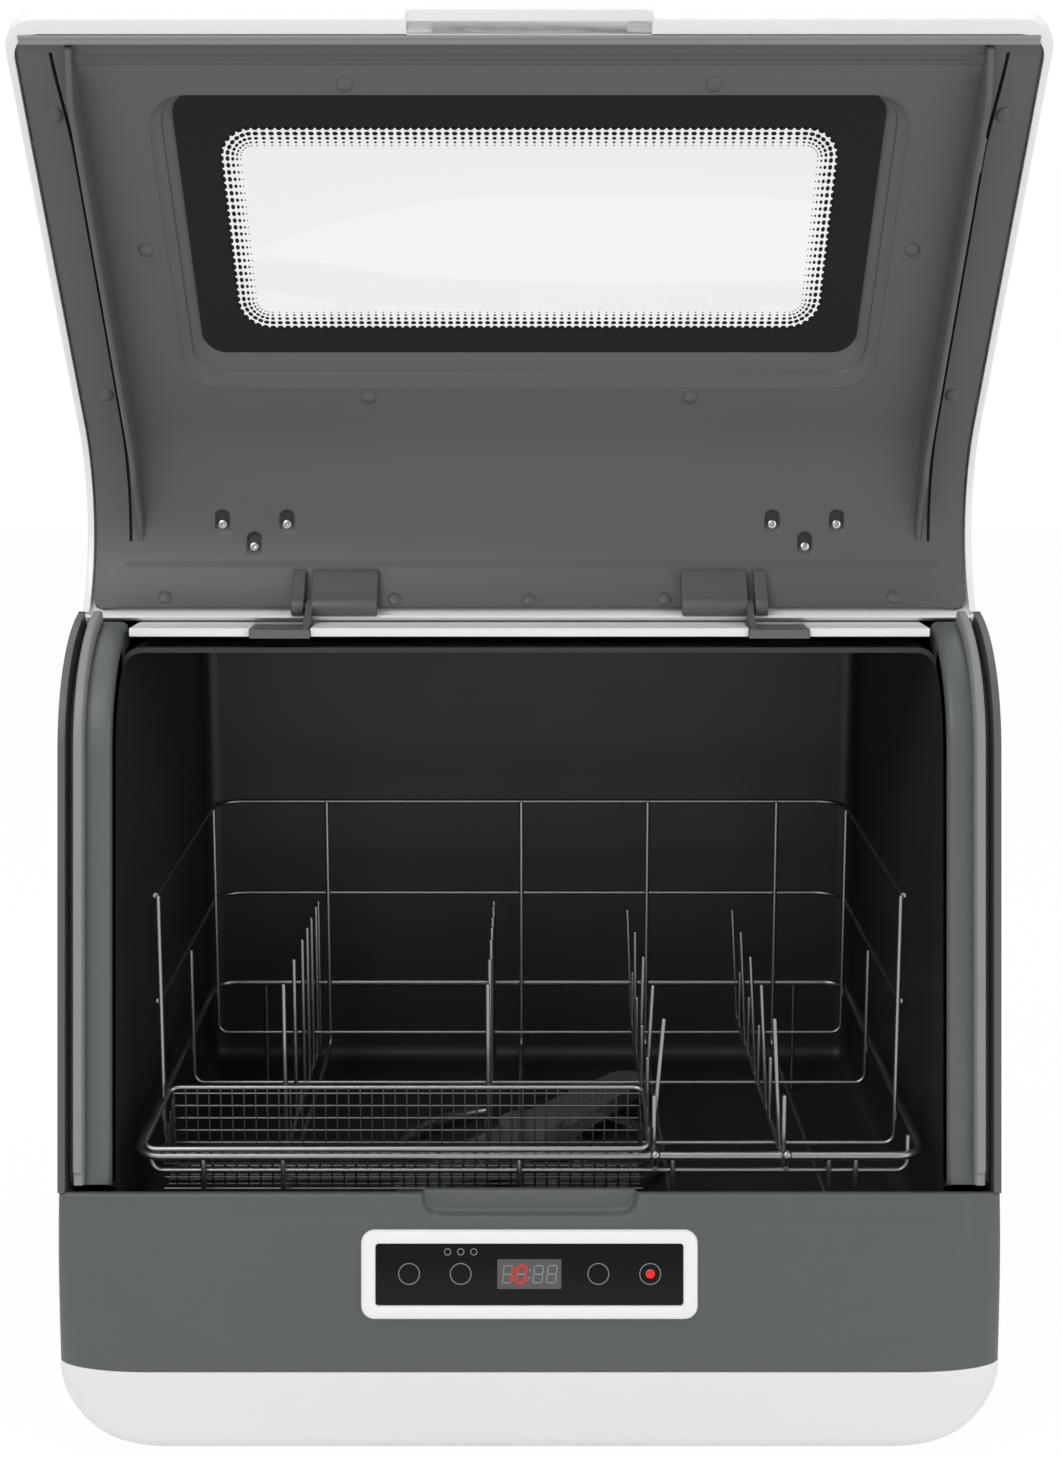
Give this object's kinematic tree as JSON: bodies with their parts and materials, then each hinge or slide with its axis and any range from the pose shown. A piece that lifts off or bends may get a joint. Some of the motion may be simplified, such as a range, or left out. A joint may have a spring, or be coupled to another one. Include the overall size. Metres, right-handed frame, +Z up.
{
  "type": "countertop dishwasher",
  "caption": "Countertop dishwasher with a flip-up windowed lid, wire plate rack, cutlery basket, spray arm and touch control panel.",
  "frame": {"origin": "centre of the footprint of the whole part with its lid open, on the table under the feet", "axes": "+Z up, +X to the right of someone who faces the control panel, +Y from the front to the back"},
  "size_m": [0.4234, 0.4068, 0.6219],
  "materials": {
    "white_abs": "fine moulded gloss ABS",
    "grey_abs": "fine spark-eroded matt ABS",
    "lid_liner": "fine textured polypropylene",
    "tub_liner": "smooth dark polypropylene",
    "frame_grey": "satin moulded",
    "seal": "matt silicone",
    "control_white": "gloss",
    "touch_black": "gloss printed acrylic",
    "display_grey": "tinted filter",
    "lamp_red": "lit lens",
    "glass_clear": "toughened, black printed border",
    "stainless": "electropolished wire",
    "steel_zinc": "zinc plated",
    "rubber_black": "matt",
    "board_green": "solder mask",
    "black_pp": "moulded polypropylene",
    "arm_pp": "moulded polypropylene",
    "motor_steel": "drawn can",
    "ivory_pom": "moulded acetal",
    "tank_pp": "natural polypropylene",
    "bronze": "wave washer"
  },
  "bodies": {
    "cabinet": {"base_tray": "white_abs", "rubber_feet": "rubber_black", "lower_housing": "grey_abs", "side_panel_left": "grey_abs", "side_panel_right": "grey_abs", "rear_panel": "grey_abs", "top_cover": "white_abs", "tub": "tub_liner", "opening_frame_left": "frame_grey", "opening_frame_right": "frame_grey", "side_seals": "seal", "control_frame": "control_white", "touch_plate": "touch_black", "display_module": "display_grey", "power_lamp": "lamp_red", "touch_board": "board_green", "main_board": "board_green", "sump": "black_pp", "filter_plate": "stainless", "feed_pipe": "black_pp", "heater": "stainless", "wash_pump_housing": "black_pp", "wash_pump_motor": "motor_steel", "drain_pump_housing": "black_pp", "drain_pump_motor": "motor_steel", "drain_hose": "rubber_black", "drain_outlet": "black_pp", "inlet_valve": "black_pp", "water_tank": "tank_pp", "fan_housing": "black_pp", "power_inlet": "black_pp", "case_screws": "steel_zinc", "hinge_brackets": "frame_grey", "hinge_pins": "steel_zinc", "friction_washers": "bronze", "reed_switch": "black_pp"},
    "lid": {"lid_shell": "white_abs", "lid_inner_panel": "lid_liner", "window_glass": "glass_clear", "lid_seal": "seal", "lid_hinge_arms": "steel_zinc", "hinge_covers": "frame_grey", "hinge_screws": "steel_zinc", "lid_plugs": "frame_grey", "lid_magnet": "motor_steel"},
    "rack": {"rack_rings": "stainless", "rack_cross_wires": "stainless", "rack_long_wires": "stainless", "rack_tines_left": "stainless", "rack_tines_right": "stainless"},
    "basket": {"basket_mesh": "stainless", "basket_rim": "stainless"},
    "spray_arm": {"spray_arm": "arm_pp"},
    "wash_impeller": {"wash_impeller": "ivory_pom"},
    "drain_impeller": {"drain_impeller": "ivory_pom"},
    "filter_basket": {"filter_basket": "black_pp"},
    "fill_cap": {"fill_cap": "white_abs"},
    "fan_wheel": {"fan_wheel": "black_pp"}
  },
  "joints": [
    {"name": "lid_hinge", "type": "hinge", "parent": "cabinet", "child": "lid", "pos_m": [0, -0.08658, 0.36981], "axis": [1, 0, 0], "range_deg": [0, 134.5]},
    {"name": "rack_lift", "type": "slide", "parent": "cabinet", "child": "rack", "axis": [0, 0, 1], "range_m": [0, 0.045]},
    {"name": "basket_lift", "type": "slide", "parent": "rack", "child": "basket", "axis": [0, 0, 1], "range_m": [0, 0.02]},
    {"name": "spray_arm_spin", "type": "hinge", "parent": "cabinet", "child": "spray_arm", "pos_m": [0, -0.04558, 0.095], "axis": [0, 0, 1], "continuous": true},
    {"name": "wash_pump_spin", "type": "hinge", "parent": "cabinet", "child": "wash_impeller", "pos_m": [0.058, -0.04558, 0.054], "axis": [1, 0, 0], "continuous": true},
    {"name": "drain_pump_spin", "type": "hinge", "parent": "cabinet", "child": "drain_impeller", "pos_m": [-0.0616, -0.06258, 0.058], "axis": [1, 0, 0], "continuous": true},
    {"name": "fan_spin", "type": "hinge", "parent": "cabinet", "child": "fan_wheel", "pos_m": [0.12, 0.16442, 0.284], "axis": [0, 1, 0], "continuous": true},
    {"name": "filter_twist", "type": "hinge", "parent": "cabinet", "child": "filter_basket", "pos_m": [0, -0.04558, 0.07], "axis": [0, 0, 1], "range_deg": [0, 90]},
    {"name": "fill_cap_twist", "type": "hinge", "parent": "cabinet", "child": "fill_cap", "pos_m": [-0.06, 0.15542, 0.378], "axis": [0, 0, 1], "range_deg": [0, 90]}
  ]
}
